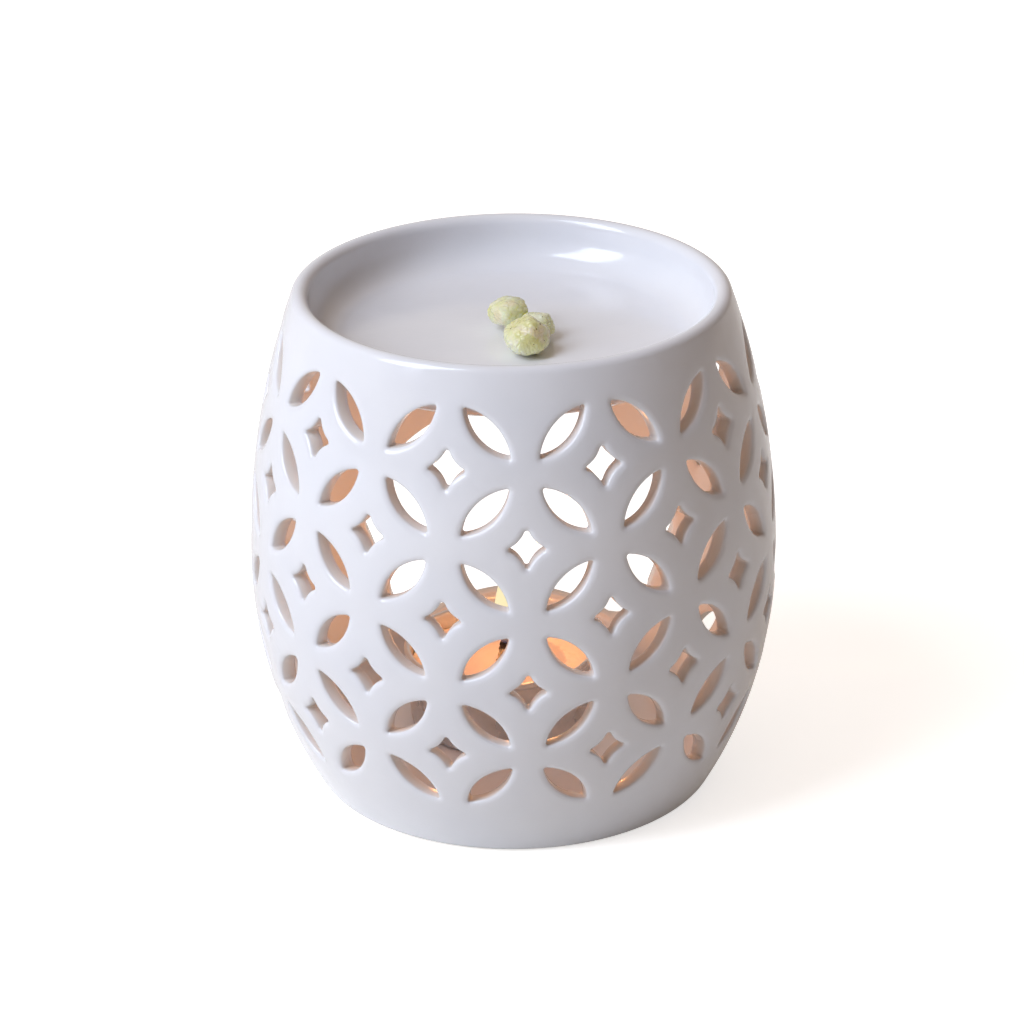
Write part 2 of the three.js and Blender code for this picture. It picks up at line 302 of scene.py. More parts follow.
def star_outline():
    across, up = STAR_HALF_WIDTH, STAR_HALF_HEIGHT
    length = math.hypot(across, up)
    bow = ((length / 2) ** 2 + STAR_HOLLOW ** 2) / (2 * STAR_HOLLOW)
    off = bow - STAR_HOLLOW
    side = Vector((across / 2 + up / length * off, up / 2 + across / length * off))
    right = Vector((side.x - math.sqrt((bow + STAR_TIP) ** 2 - side.y ** 2), 0))
    top = Vector((0, side.y - math.sqrt((bow + STAR_TIP) ** 2 - side.x ** 2)))
    right_angle = math.atan2(side.y, side.x - right.x)
    top_angle = math.atan2(side.y - top.y, side.x)
    tip_steps, side_steps = 4, 6
    quarter = []
    for i in range(tip_steps // 2):
        angle = right_angle * 2 * i / tip_steps
        quarter.append((right, STAR_TIP, angle, 1))
    for i in range(side_steps + 1):
        angle = math.pi + right_angle + (top_angle - right_angle) * i / side_steps
        quarter.append((side, bow, angle, -1))
    for i in range(1, tip_steps // 2 + 1):
        angle = top_angle + (math.pi / 2 - top_angle) * 2 * i / tip_steps
        quarter.append((top, STAR_TIP, angle, 1))
    corner = []
    for centre, radius, angle, sign in quarter:
        ray = Vector((math.cos(angle), math.sin(angle)))
        corner.append((centre + radius * ray, ray * sign))
    points = list(corner)
    points += [(Vector((-p.x, p.y)), Vector((-n.x, n.y))) for p, n in reversed(corner[:-1])]
    points += [(Vector((p.x, -p.y)), Vector((n.x, -n.y))) for p, n in reversed(points[1:-1])]
    return points


def arch_outline():
    """The rear opening seen from behind: a low arch on sides that lean in to a crowned sill."""
    rise = ARCH_TOP - ARCH_SPRING
    across = ARCH_FOOT_HALF_WIDTH - ARCH_CORNER
    up = SILL_HEIGHT - SILL_CROWN + ARCH_CORNER
    arch_steps, side_steps, corner_steps, sill_steps = 48, 6, 8, 24
    half = []
    for i in range(1, sill_steps // 2 + 1):
        x = across * 2 * i / sill_steps
        half.append((x, SILL_HEIGHT - SILL_CROWN * (x / across) ** 2))
    half += arc((across, up), ARCH_CORNER, -math.pi / 2, 0, corner_steps)[1:]
    foot = half[-1]
    for i in range(1, side_steps):
        share = i / side_steps
        x = foot[0] + (ARCH_HALF_WIDTH - foot[0]) * share
        y = foot[1] + (ARCH_SPRING - foot[1]) * share
        half.append((x, y))
    for i in range(arch_steps // 2):
        angle = math.pi * i / arch_steps
        half.append((ARCH_HALF_WIDTH * math.cos(angle), ARCH_SPRING + rise * math.sin(angle)))
    whole = [(0, SILL_HEIGHT), *half, (0, ARCH_TOP), *[(-x, y) for x, y in reversed(half)]]
    points = [Vector((x - ARCH_OFFSET, y)) for x, y in whole]
    outline = []
    for i, p in enumerate(points):
        along = points[(i + 1) % len(points)] - points[i - 1]
        outline.append((p, Vector((along.y, -along.x)).normalized()))
    return outline


PETAL = petal_outline()
STAR = star_outline()
ARCH = arch_outline()
BAND = [p + n * PLAIN_BAND for p, n in ARCH]


def turned(outline, angle):
    turn = Matrix.Rotation(angle, 2)
    return [(turn @ p, turn @ n) for p, n in outline]


def is_inside(loop, x, y):
    inside = False
    for a, b in zip(loop, loop[1:] + loop[:1]):
        if (a.y > y) != (b.y > y) and x < a.x + (b.x - a.x) * (y - a.y) / (b.y - a.y):
            inside = not inside
    return inside


def clears_opening(outline, azimuth, height):
    """Whether a hole stays out of the plain band round the rear opening."""
    for p, _ in outline:
        around = azimuth + p.x / radius_at(height)
        across = -radius_at(height) * math.sin(around)
        if math.cos(around) < 0 and is_inside(BAND, across, height + p.y):
            return False
    return True


def lattice_holes():
    """Each hole: whether it is a star, its tilt, and the azimuth and height of its centre."""
    holes = []
    for row in range(ROWS):
        height = LATTICE_TOP - (row + 0.5) * ROW_PITCH - PETAL_DROP
        for column in range(2 * STARS_PER_ROW):
            azimuth = (column + 0.5) * HALF_STEP
            tilt = -PETAL_TILT if (row + column) % 2 else PETAL_TILT
            if clears_opening(turned(PETAL, tilt), azimuth, height):
                holes.append((False, tilt, azimuth, height))
    for seam in range(1, ROWS):
        height = LATTICE_TOP - seam * ROW_PITCH
        for column in range(seam % 2, 2 * STARS_PER_ROW, 2):
            azimuth = column * HALF_STEP
            if clears_opening(STAR, azimuth, height):
                holes.append((True, 0.0, azimuth, height))
    return holes


# Wall, laid flat: x runs round the belly, y up and z from the outer face inwards

def edge_rings():
    """How far the soft edge of a hole stands back from it, and how deep, from outside in."""
    turns = [math.pi / 2 * i / EDGE_STEPS for i in range(EDGE_STEPS + 1)]
    rings = [(EDGE_BACK * (1 - math.sin(t)), EDGE_DEPTH * (1 - math.cos(t))) for t in turns]
    return rings + [(back, WALL - depth) for back, depth in reversed(rings)]


def hole_ring(hole, shift=0.0):
    """The outer edge of a hole on the flat wall, where it keeps its true width once bent."""
    is_star, tilt, azimuth, height = hole
    outline = STAR if is_star else turned(PETAL, tilt)
    shrink = BODY_RADIUS / radius_at(height)
    ring = []
    for p, n in outline:
        q = p + n * EDGE_BACK
        ring.append(Vector(((azimuth + shift) * BODY_RADIUS + q.x * shrink, height + q.y)))
    return ring


def arch_ring(back, depth):
    """The rear opening is cut straight from behind, so its edge moves round as it goes deeper."""
    ring = []
    for p, n in ARCH:
        q = p + n * back
        azimuth = math.pi + math.asin(q.x / radius_at(q.y, depth))
        ring.append(Vector((azimuth * BODY_RADIUS, q.y)))
    return ring


def banded(name, rings):
    """Faces between rings of as many points, each ring given with its depth."""
    vertices, faces = [], []
    for ring, depth in rings:
        vertices += [(p.x, p.y, depth) for p in ring]
    count = len(rings[0][0])
    for k in range(len(rings) - 1):
        for i in range(count):
            a, b = k * count + i, k * count + (i + 1) % count
            faces.append((a, b, b + count, a + count))
    return mesh_object(name, vertices, faces)


def hole_collar(name, outline):
    return banded(name, [([p + n * back for p, n in outline], depth) for back, depth in edge_rings()])


def arch_collar():
    return banded("arch_collar", [(arch_ring(back, depth), depth) for back, depth in edge_rings()])


def sheet_border(step, levels, rise):
    """The border of the flat wall, whose points meet those of the strips above and below."""
    around = ROUND_STEPS * step
    bottom = [Vector((i * step, LATTICE_BOTTOM)) for i in range(ROUND_STEPS)]
    right = [Vector((around, LATTICE_BOTTOM + k * rise)) for k in range(levels)]
    top = [Vector((around - i * step, LATTICE_TOP)) for i in range(ROUND_STEPS)]
    left = [Vector((0, LATTICE_TOP - k * rise)) for k in range(levels)]
    return bottom + right + top + left


def land(holes, depth):
    """The land between the holes, as one flat sheet of triangles at that depth of the wall."""
    step = 2 * math.pi * BODY_RADIUS / ROUND_STEPS
    levels = LEVELS_PER_ROW * ROWS
    rise = ROW_PITCH / LEVELS_PER_ROW
    loops = [arch_ring(EDGE_BACK, depth)] + [hole_ring(hole) for hole in holes]
    loops += [hole_ring(hole, 2 * math.pi) for hole in holes if hole[2] == 0]
    edge_points = [p for loop in loops for p in loop]
    near = KDTree(len(edge_points))
    for i, p in enumerate(edge_points):
        near.insert((p.x, p.y, 0), i)
    near.balance()
    grid = []
    for k in range(1, levels):
        for i in range(1, ROUND_STEPS - k % 2):
            p = Vector(((i + 0.5 * (k % 2)) * step, LATTICE_BOTTOM + k * rise))
            if near.find((p.x, p.y, 0))[2] > step / 2:
                grid.append(p)
    points, outlines = [], []
    for loop in [sheet_border(step, levels, rise)] + loops:
        outlines.append(list(range(len(points), len(points) + len(loop))))
        points += loop
    found, _, cells, _, _, parents = delaunay_2d_cdt(points + grid, [], outlines, 0, WELD / 10)
    kept = [list(cell) for cell, parent in zip(cells, parents) if parent == [0]]
    order = {v: i for i, v in enumerate(sorted({v for cell in kept for v in cell}))}
    turn = -1 if depth else 1
    faces = [[order[v] for v in cell][::turn] for cell in kept]
    return mesh_object("land", [(found[v].x, found[v].y, depth) for v in order], faces)


def hole_centres(holes):
    """A point for each hole, with what its collar needs to know."""
    places = [(azimuth * BODY_RADIUS, height, 0) for _, _, azimuth, height in holes]
    piece = mesh_object("hole_centres", places, [])
    columns = {
        "star": ("BOOLEAN", [is_star for is_star, _, _, _ in holes]),
        "tilt": ("FLOAT", [tilt for _, tilt, _, _ in holes]),
        "centre": ("FLOAT", [azimuth * BODY_RADIUS for _, _, azimuth, _ in holes]),
        "shrink": ("FLOAT", [BODY_RADIUS / radius_at(height) for _, _, _, height in holes]),
    }
    for name, (kind, values) in columns.items():
        piece.data.attributes.new(name, kind, "POINT").data.foreach_set("value", values)
    return piece


# Node trees

def add(tree, kind, inputs=None, **settings):
    """A node with its settings, and each input a value or another node's socket."""
    node = tree.nodes.new(kind)
    for name, value in settings.items():
        setattr(node, name, value)
    for key, value in (inputs or {}).items():
        if isinstance(value, bpy.types.NodeSocket):
            tree.links.new(value, node.inputs[key])
        else:
            node.inputs[key].default_value = value
    return node


def maths(tree, operation, a, b=0.0):
    return add(tree, "ShaderNodeMath", {0: a, 1: b}, operation=operation).outputs[0]


def named(tree, name, kind="FLOAT"):
    node = add(tree, "GeometryNodeInputNamedAttribute", {"Name": name}, data_type=kind)
    return node.outputs["Attribute"]


def new_tree(kind, name, inputs, outputs):
    """A node group with named inputs and outputs, each given as (name, socket kind)."""
    tree = bpy.data.node_groups.new(name, kind)
    for direction, sockets in (("INPUT", inputs), ("OUTPUT", outputs)):
        for label, holds in sockets:
            tree.interface.new_socket(label, in_out=direction, socket_type="NodeSocket" + holds)
    source = tree.nodes.new("NodeGroupInput").outputs
    return tree, {socket.name: socket for socket in source if socket.name}


def new_geometry_tree(name, inputs):
    geometry = [("Geometry", "Geometry")]
    return new_tree("GeometryNodeTree", name, geometry + inputs, geometry)


def finished(tree, geometry, material):
    """The end of a Geometry Nodes tree: real geometry in its material."""
    real = add(tree, "GeometryNodeRealizeInstances", {0: geometry}).outputs[0]
    done = add(tree, "GeometryNodeSetMaterial", {"Geometry": real, "Material": material})
    add(tree, "NodeGroupOutput", {0: done.outputs[0]})
    return tree


def run_geometry_tree(piece, tree, values):
    """Runs a tree on a piece, with its inputs given by name, and keeps the result as its mesh."""
    modifier = piece.modifiers.new(tree.name, "NODES")
    modifier.node_group = tree
    for item in tree.interface.items_tree:
        if item.in_out == "INPUT" and item.name in values:
            modifier[item.identifier] = values[item.name]
    return applied(piece)


def position_axes(tree):
    position = add(tree, "GeometryNodeInputPosition").outputs[0]
    return add(tree, "ShaderNodeSeparateXYZ", {0: position}).outputs


def bent_position(tree, belly_radius, belly_height, shoulder, skirt):
    """Where a point of the flat wall lies on the pot."""
    along, height, depth = position_axes(tree)
    above = maths(tree, "GREATER_THAN", height, belly_height)
    bow = add(tree, "ShaderNodeMix", {0: above, 2: skirt, 3: shoulder}).outputs[0]
    reach = maths(tree, "POWER", maths(tree, "SUBTRACT", bow, depth), 2.0)
    climb = maths(tree, "ABSOLUTE", maths(tree, "SUBTRACT", height, belly_height))
    rise = maths(tree, "POWER", climb, 2.0)
    across = maths(tree, "SQRT", maths(tree, "SUBTRACT", reach, rise))
    radius = maths(tree, "ADD", maths(tree, "SUBTRACT", belly_radius, bow), across)
    azimuth = maths(tree, "DIVIDE", along, belly_radius)
    x = maths(tree, "MULTIPLY", radius, maths(tree, "SINE", azimuth))
    y = maths(tree, "MULTIPLY", radius, maths(tree, "MULTIPLY", maths(tree, "COSINE", azimuth), -1.0))
    return add(tree, "ShaderNodeCombineXYZ", {0: x, 1: y, 2: height}).outputs[0]


def pierced_wall_tree():
    """Sets a collar in each hole of the flat wall and bends the whole on to the pot."""
    tree, given = new_geometry_tree("Pierced wall", [
        ("Holes", "Object"), ("Petal Collar", "Object"), ("Star Collar", "Object"),
        ("Belly Radius", "Float"), ("Belly Height", "Float"),
        ("Shoulder Bow", "Float"), ("Skirt Bow", "Float"),
        ("Weld", "Float"), ("Glaze", "Material"),
    ])
    centres = add(tree, "GeometryNodeObjectInfo", {"Object": given["Holes"]}).outputs["Geometry"]
    turn = add(tree, "ShaderNodeCombineXYZ", {2: named(tree, "tilt")}).outputs[0]
    is_star = named(tree, "star", "BOOLEAN")
    is_petal = add(tree, "FunctionNodeBooleanMath", {0: is_star}, operation="NOT").outputs[0]
    collars = add(tree, "GeometryNodeJoinGeometry")
    for outline, chosen in (("Petal Collar", is_petal), ("Star Collar", is_star)):
        shape = add(tree, "GeometryNodeObjectInfo", {"Object": given[outline]}).outputs["Geometry"]
        spread = add(tree, "GeometryNodeInstanceOnPoints", {
            "Points": centres, "Selection": chosen, "Instance": shape, "Rotation": turn,
        })
        tree.links.new(spread.outputs[0], collars.inputs[0])
    real = add(tree, "GeometryNodeRealizeInstances", {0: collars.outputs[0]}).outputs[0]
    along, height, depth = position_axes(tree)
    centre = named(tree, "centre")
    offset = maths(tree, "SUBTRACT", along, centre)
    true_width = maths(tree, "ADD", centre, maths(tree, "MULTIPLY", offset, named(tree, "shrink")))
    widened = add(tree, "ShaderNodeCombineXYZ", {0: true_width, 1: height, 2: depth}).outputs[0]
    set_width = add(tree, "GeometryNodeSetPosition", {"Geometry": real, "Position": widened})
    whole = add(tree, "GeometryNodeJoinGeometry")
    tree.links.new(set_width.outputs[0], whole.inputs[0])
    tree.links.new(given["Geometry"], whole.inputs[0])
    bent = add(tree, "GeometryNodeSetPosition", {
        "Geometry": whole.outputs[0],
        "Position": bent_position(
            tree, given["Belly Radius"], given["Belly Height"], given["Shoulder Bow"], given["Skirt Bow"]
        ),
    })
    inputs = {"Geometry": bent.outputs[0], "Distance": given["Weld"]}
    welded = add(tree, "GeometryNodeMergeByDistance", inputs)
    return finished(tree, welded.outputs[0], given["Glaze"])


def pierced_wall(glaze):
    """Both faces of the wall and the edges of its openings, from the foot to the lip."""
    holes = lattice_holes()
    sheet = join_meshes("pierced_wall", [land(holes, 0.0), land(holes, WALL), arch_collar()])
    helpers = [hole_centres(holes), hole_collar("petal_collar", PETAL), hole_collar("star_collar", STAR)]
    run_geometry_tree(sheet, pierced_wall_tree(), {
        "Holes": helpers[0], "Petal Collar": helpers[1], "Star Collar": helpers[2],
        "Belly Radius": BODY_RADIUS, "Belly Height": BELLY_HEIGHT,
        "Shoulder Bow": SHOULDER_BOW, "Skirt Bow": SKIRT_BOW,
        "Weld": WELD, "Glaze": glaze,
    })
    for helper in helpers:
        bpy.data.objects.remove(helper)
    return sheet


def burner_body(glaze):
    """The pot in one piece: the pierced wall, its foot and floor, the lip and the oil dish."""
    strips = [foot_strip(), floor_strip(), lip_and_dish_strip(), thin_dish_strip()]
    pot = join_meshes("burner_body_glazed", [pierced_wall(glaze)] + strips)
    backing = dish_thickness()
    union = pot.modifiers.new("Dish", "BOOLEAN")
    union.operation = "UNION"
    union.solver = "MANIFOLD"
    union.object = backing
    applied(pot)
    bpy.data.objects.remove(backing)
    for name in ("tilt", "centre", "shrink", "star"):
        left = pot.data.attributes.get(name)
        if left:
            pot.data.attributes.remove(left)
    return pot


# Finishes

def colour(red, green, blue):
    """A colour given as it looks on screen, 0 to 255, turned into the light that Blender mixes."""
    def linear(value):
        value /= 255
        return value / 12.92 if value <= 0.04045 else ((value + 0.055) / 1.055) ** 2.4
    return (linear(red), linear(green), linear(blue), 1.0)


def mottle_group():
    """Soft uneven patches from 0 to 1, for every finish alike."""
    inputs = [("Patch Size", "Float"), ("Detail", "Float"), ("Contrast", "Float")]
    tree, given = new_tree("ShaderNodeTree", "Mottle", inputs, [("Value", "Float")])
    where = add(tree, "ShaderNodeTexCoord").outputs["Object"]
    scale = maths(tree, "DIVIDE", 1.0, given["Patch Size"])
    inputs = {"Vector": where, "Scale": scale, "Detail": given["Detail"]}
    patches = add(tree, "ShaderNodeTexNoise", inputs)
    centred = maths(tree, "SUBTRACT", patches.outputs[0], 0.5)
    spread = maths(tree, "MULTIPLY", centred, maths(tree, "MULTIPLY", given["Contrast"], 2.5))
    shifted = add(tree, "ShaderNodeMath", {0: spread, 1: 0.5}, operation="ADD", use_clamp=True)
    add(tree, "NodeGroupOutput", {"Value": shifted.outputs[0]})
    return tree


MOTTLE = mottle_group()


def mottle(tree, size, detail=4.0, contrast=1.0):
    inputs = {"Patch Size": size, "Detail": detail, "Contrast": contrast}
    return add(tree, "ShaderNodeGroup", inputs, node_tree=MOTTLE).outputs["Value"]


def new_finish(name, **constants):
    """A material with one Principled shader, whose even values are set on its own sockets."""
    material = bpy.data.materials.new(name)
    material.use_nodes = True
    tree = material.node_tree
    tree.nodes.clear()
    shader = tree.nodes.new("ShaderNodeBsdfPrincipled")
    add(tree, "ShaderNodeOutputMaterial", {"Surface": shader.outputs[0]})
    for label, value in constants.items():
        shader.inputs[label.replace("_", " ")].default_value = value
    return material, tree, shader


def feed(tree, shader, **sockets):
    """Links what varies over a surface into its shader."""
    for label, socket in sockets.items():
        tree.links.new(socket, shader.inputs[label.replace("_", " ")])


def mixed(tree, factor, first, second):
    inputs = {0: factor, 6: first, 7: second}
    return add(tree, "ShaderNodeMix", inputs, data_type="RGBA").outputs[2]


def ranged(tree, value, low, high, to_low=0.0, to_high=1.0):
    inputs = {"Value": value, "From Min": low, "From Max": high, "To Min": to_low, "To Max": to_high}
    return add(tree, "ShaderNodeMapRange", inputs, interpolation_type="SMOOTHSTEP").outputs[0]


def object_axes(tree):
    where = add(tree, "ShaderNodeTexCoord").outputs["Object"]
    return add(tree, "ShaderNodeSeparateXYZ", {0: where}).outputs


def bumped(tree, shader, height, distance, normal=None):
    inputs = {"Height": height, "Distance": distance, "Strength": 1.0}
    if normal:
        inputs["Normal"] = normal
    bump = add(tree, "ShaderNodeBump", inputs).outputs[0]
    feed(tree, shader, Normal=bump)
    return bump


def length(tree, across, along):
    squares = [maths(tree, "MULTIPLY", side, side) for side in (across, along)]
    return maths(tree, "SQRT", maths(tree, "ADD", *squares))


def wall_depth(tree, x, y, z):
    """How deep in the pot's wall a point lies: 0 on its outer face and 1 on its inner face."""
    above = maths(tree, "GREATER_THAN", z, BELLY_HEIGHT)
    bow = add(tree, "ShaderNodeMix", {0: above, 2: SKIRT_BOW, 3: SHOULDER_BOW}).outputs[0]
    rise = maths(tree, "SUBTRACT", z, BELLY_HEIGHT)
    squares = [maths(tree, "MULTIPLY", side, side) for side in (bow, rise)]
    across = maths(tree, "SQRT", maths(tree, "SUBTRACT", *squares))
    outer = maths(tree, "ADD", maths(tree, "SUBTRACT", BODY_RADIUS, bow), across)
    return maths(tree, "DIVIDE", maths(tree, "SUBTRACT", outer, length(tree, x, y)), WALL)


def porcelain_glaze():
    """White gloss glaze, thinner and a little warmer in the cut holes, bare on the foot ring."""
    material, tree, shader = new_finish("porcelain_glaze", Coat_Weight=0.2, Coat_Roughness=0.06)
    x, y, z = object_axes(tree)
    depth = wall_depth(tree, x, y, z)
    between = maths(tree, "MINIMUM", depth, maths(tree, "SUBTRACT", 1.0, depth))
    pierced = ranged(tree, z, LATTICE_TOP - 1 * MM, LATTICE_TOP, 1.0, 0.0)
    cut = maths(tree, "MULTIPLY", ranged(tree, between, 0.03, 0.35), pierced)
    bare = ranged(tree, z, 0.15 * MM, 0.6 * MM, 1.0, 0.0)
    patches = mottle(tree, 18 * MM, 3.0, 0.8)
    glaze = mixed(tree, patches, colour(234, 236, 242), colour(240, 241, 245))
    thinned = mixed(tree, cut, glaze, colour(232, 228, 224))
    clay = mixed(tree, mottle(tree, 1.2 * MM, 6.0), colour(206, 198, 184), colour(228, 222, 210))
    gloss = ranged(tree, patches, 0.0, 1.0, 0.13, 0.2)
    softer = maths(tree, "ADD", gloss, maths(tree, "MULTIPLY", cut, 0.1))
    rough = maths(tree, "ADD", softer, maths(tree, "MULTIPLY", bare, 0.6))
    feed(tree, shader, Base_Color=mixed(tree, bare, thinned, clay), Roughness=rough)
    waves = bumped(tree, shader, mottle(tree, 14 * MM, 1.0), 0.12 * MM)
    bumped(tree, shader, mottle(tree, 1.1 * MM, 2.0), 0.006 * MM, normal=waves)
    return material


def pressed_foil():
    material, tree, shader = new_finish("pressed_foil", Metallic=1.0)
    patches = mottle(tree, 5 * MM, 5.0)
    tint = mixed(tree, patches, colour(196, 198, 201), colour(222, 223, 225))
    feed(tree, shader, Base_Color=tint, Roughness=ranged(tree, patches, 0.0, 1.0, 0.24, 0.42))
    bumped(tree, shader, mottle(tree, 2.2 * MM, 3.0), 0.05 * MM)
    return material


def candle_wax():
    """Warm white wax: melted and glossy round the wick, dull and scuffed at the cup."""
    material, tree, shader = new_finish(
        "candle_wax", Subsurface_Weight=0.5, Subsurface_Scale=0.004, Subsurface_Radius=(1.0, 0.7, 0.45)
    )
    x, y, _ = object_axes(tree)
    along = maths(tree, "SUBTRACT", x, CUP_PLACE.x)
    across = maths(tree, "SUBTRACT", y, CUP_PLACE.y)
    wobble = maths(tree, "MULTIPLY", mottle(tree, 6 * MM), 2.5 * MM)
    reach = maths(tree, "ADD", length(tree, along, across), wobble)
    dull = ranged(tree, reach, 13 * MM, 15 * MM)
    tint = mixed(tree, dull, colour(188, 174, 170), colour(222, 211, 204))
    feed(tree, shader, Base_Color=tint, Roughness=ranged(tree, dull, 0.0, 1.0, 0.08, 0.5))
    grain = maths(tree, "MULTIPLY", mottle(tree, 1.5 * MM), dull)
    bumped(tree, shader, grain, 0.15 * MM)
    return material


def stamped_steel():
    material, tree, shader = new_finish("stamped_steel", Metallic=1.0)
    patches = mottle(tree, 1.5 * MM, 6.0)
    tint = mixed(tree, patches, colour(150, 152, 155), colour(178, 180, 182))
    feed(tree, shader, Base_Color=tint, Roughness=ranged(tree, patches, 0.0, 1.0, 0.3, 0.5))
    return material


def charred_cotton():
    """Wax-soaked cotton, burnt black above the pool."""
    material, tree, shader = new_finish("charred_cotton")
    height = object_axes(tree)[2]
    wander = maths(tree, "MULTIPLY", mottle(tree, 0.8 * MM), 1.2 * MM)
    burnt = ranged(tree, maths(tree, "ADD", height, wander), WAX_TOP + 2.0 * MM, WAX_TOP + 3.4 * MM)
    char = mixed(tree, mottle(tree, 0.4 * MM, 6.0), colour(22, 18, 16), colour(58, 50, 45))
    tint = mixed(tree, burnt, colour(214, 200, 170), char)
    feed(tree, shader, Base_Color=tint, Roughness=ranged(tree, burnt, 0.0, 1.0, 0.45, 0.95))
    bumped(tree, shader, mottle(tree, 0.3 * MM, 4.0), 0.12 * MM)
    return material


def dusty_resin():
    """Pale yellow-green resin, blushed and dusted with cream in places, with a few grains of bark."""
    material, tree, shader = new_finish(
        "dusty_resin", Subsurface_Weight=0.9, Subsurface_Scale=0.005, Subsurface_Radius=(1.0, 0.9, 0.5)
    )
    patches = mottle(tree, 6 * MM, 2.0, 1.1)
    body = mixed(tree, patches, colour(217, 214, 150), colour(228, 232, 204))
    rosy = ranged(tree, mottle(tree, 4.2 * MM, 1.0, 1.0), 0.55, 0.9)
    blushed = mixed(tree, rosy, body, colour(230, 221, 190))
    dust = ranged(tree, mottle(tree, 2.8 * MM, 3.0, 1.0), 0.5, 1.0)
    dusted = mixed(tree, maths(tree, "MULTIPLY", dust, 0.5), blushed, colour(240, 233, 216))
    grains = ranged(tree, mottle(tree, 0.6 * MM, 0.0, 0.62), 0.03, 0.0)
    tint = mixed(tree, grains, dusted, colour(110, 90, 62))
    feed(tree, shader, Base_Color=tint, Roughness=ranged(tree, dust, 0.0, 1.0, 0.2, 0.5))
    bumped(tree, shader, mottle(tree, 2.2 * MM, 2.0), 0.2 * MM)
    return material


def burning_gas():
    """The flame: clear blue at its foot, orange above and yellow at its heart."""
    material, tree, shader = new_finish("burning_gas", Emission_Strength=1.0, Roughness=1.0)
    shader.inputs["Base Color"].default_value = (0, 0, 0, 1)
    height = object_axes(tree)[2]
    foot = ranged(tree, height, FLAME_BASE, FLAME_BASE + 4 * MM)
    heart = ranged(tree, height, FLAME_BASE + 3 * MM, FLAME_BASE + 9 * MM)
    low = mixed(tree, foot, colour(120, 120, 170), colour(250, 190, 100))
    high = mixed(tree, heart, low, colour(255, 240, 190))
    feed(tree, shader, Emission_Color=high, Alpha=ranged(tree, foot, 0.0, 1.0, 0.15, 1.0))
    return material


# Tea light

GAP = 0.3 * MM
CUP_PLACE = Vector((-2.4, 5.5)) * MM
CUP_BASE = FLOOR_TOP + GAP
CUP_RADIUS = 19 * MM
CUP_FOOT_RADIUS = 18.4 * MM
CUP_HEIGHT = 16 * MM
CUP_WALL = 0.5 * MM
CUP_BEAD = 0.7 * MM
WAX_BELOW_RIM = 3.4 * MM
WAX_TOP = CUP_BASE + CUP_HEIGHT - WAX_BELOW_RIM
WAX_DIMPLE = 0.5 * MM
TAB_BASE = CUP_BASE + CUP_WALL + GAP
TAB_RADIUS = 7.5 * MM
TAB_THICKNESS = 0.4 * MM
COLLAR_RADIUS = 1.9 * MM
COLLAR_HEIGHT = 3.6 * MM
WICK_RADIUS = 0.8 * MM
WICK_ABOVE_WAX = 6.5 * MM
WICK_LEAN = 1.6 * MM
FLAME_BASE = WAX_TOP + 3.2 * MM
FLAME_TOP = WAX_TOP + 25 * MM
FLAME_RADIUS = 3.3 * MM


def at_cup(piece):
    piece.data.transform(Matrix.Translation((CUP_PLACE.x, CUP_PLACE.y, 0)))
    return piece


def cup_inside(height):
    share = (height - CUP_BASE) / CUP_HEIGHT
    return CUP_FOOT_RADIUS + (CUP_RADIUS - CUP_FOOT_RADIUS) * share - CUP_WALL


def foil_cup():
    """The cup with a beaded rim, and fine rings pressed into its underside."""
    rim = CUP_BASE + CUP_HEIGHT - CUP_BEAD
    corner, pressed = 0.6 * MM, 0.18 * MM
    rings = [(r * MM, CUP_BASE + pressed * (k % 2)) for k, r in enumerate((6, 7, 8, 9, 14, 15, 16))]
    profile = [
        (0, CUP_BASE),
        *rings,
        *arc((CUP_FOOT_RADIUS - corner, CUP_BASE + corner), corner, -math.pi / 2, 0, 5),
        *arc((CUP_RADIUS, rim), CUP_BEAD, -math.pi / 3, math.pi, 14),
        (cup_inside(CUP_BASE + CUP_WALL), CUP_BASE + CUP_WALL),
        (0, CUP_BASE + CUP_WALL),
    ]
    return lathe("tealight_cup_foil", profile, 96)


def wax_body():
    """The wax, hollowed a little to the wick and open below for the tab and its collar."""
    bore = WICK_RADIUS + GAP
    over_tab = TAB_BASE + TAB_THICKNESS + GAP
    over_collar = TAB_BASE + COLLAR_HEIGHT + GAP
    edge = cup_inside(WAX_TOP) - GAP
    soft = 0.5 * MM
    pool = [(edge - soft - (edge - soft - bore) * i / 12, i / 12) for i in range(1, 13)]
    profile = [
        (COLLAR_RADIUS + GAP, over_tab),
        (TAB_RADIUS + GAP, over_tab),
        (TAB_RADIUS + GAP, TAB_BASE),
        (cup_inside(TAB_BASE) - GAP, TAB_BASE),
        *arc((edge - soft, WAX_TOP - soft), soft, 0, math.pi / 2, 5),
        *[(r, WAX_TOP - WAX_DIMPLE * math.sin(share * math.pi / 2)) for r, share in pool],
        (bore, over_collar),
        (COLLAR_RADIUS + GAP, over_collar),
        (COLLAR_RADIUS + GAP, over_tab),
    ]
    return lathe("tealight_wax_poured", profile, 96)


def tab_plate():
    """The steel tab with the collar that holds the wick."""
    bore = WICK_RADIUS + GAP
    soft = 0.12 * MM
    bend = 3 * soft
    root = (COLLAR_RADIUS + bend, TAB_BASE + TAB_THICKNESS + bend)
    profile = [
        (bore, TAB_BASE),
        *arc((TAB_RADIUS - soft, TAB_BASE + soft), soft, -math.pi / 2, 0, 3),
        *arc((TAB_RADIUS - soft, TAB_BASE + TAB_THICKNESS - soft), soft, 0, math.pi / 2, 3),
        *arc(root, bend, -math.pi / 2, -math.pi, 4),
        *arc((COLLAR_RADIUS - soft, TAB_BASE + COLLAR_HEIGHT - soft), soft, 0, math.pi / 2, 3),
        (bore, TAB_BASE + COLLAR_HEIGHT),
        (bore, TAB_BASE),
    ]
    return lathe("wick_tab_stamped", profile, 64)


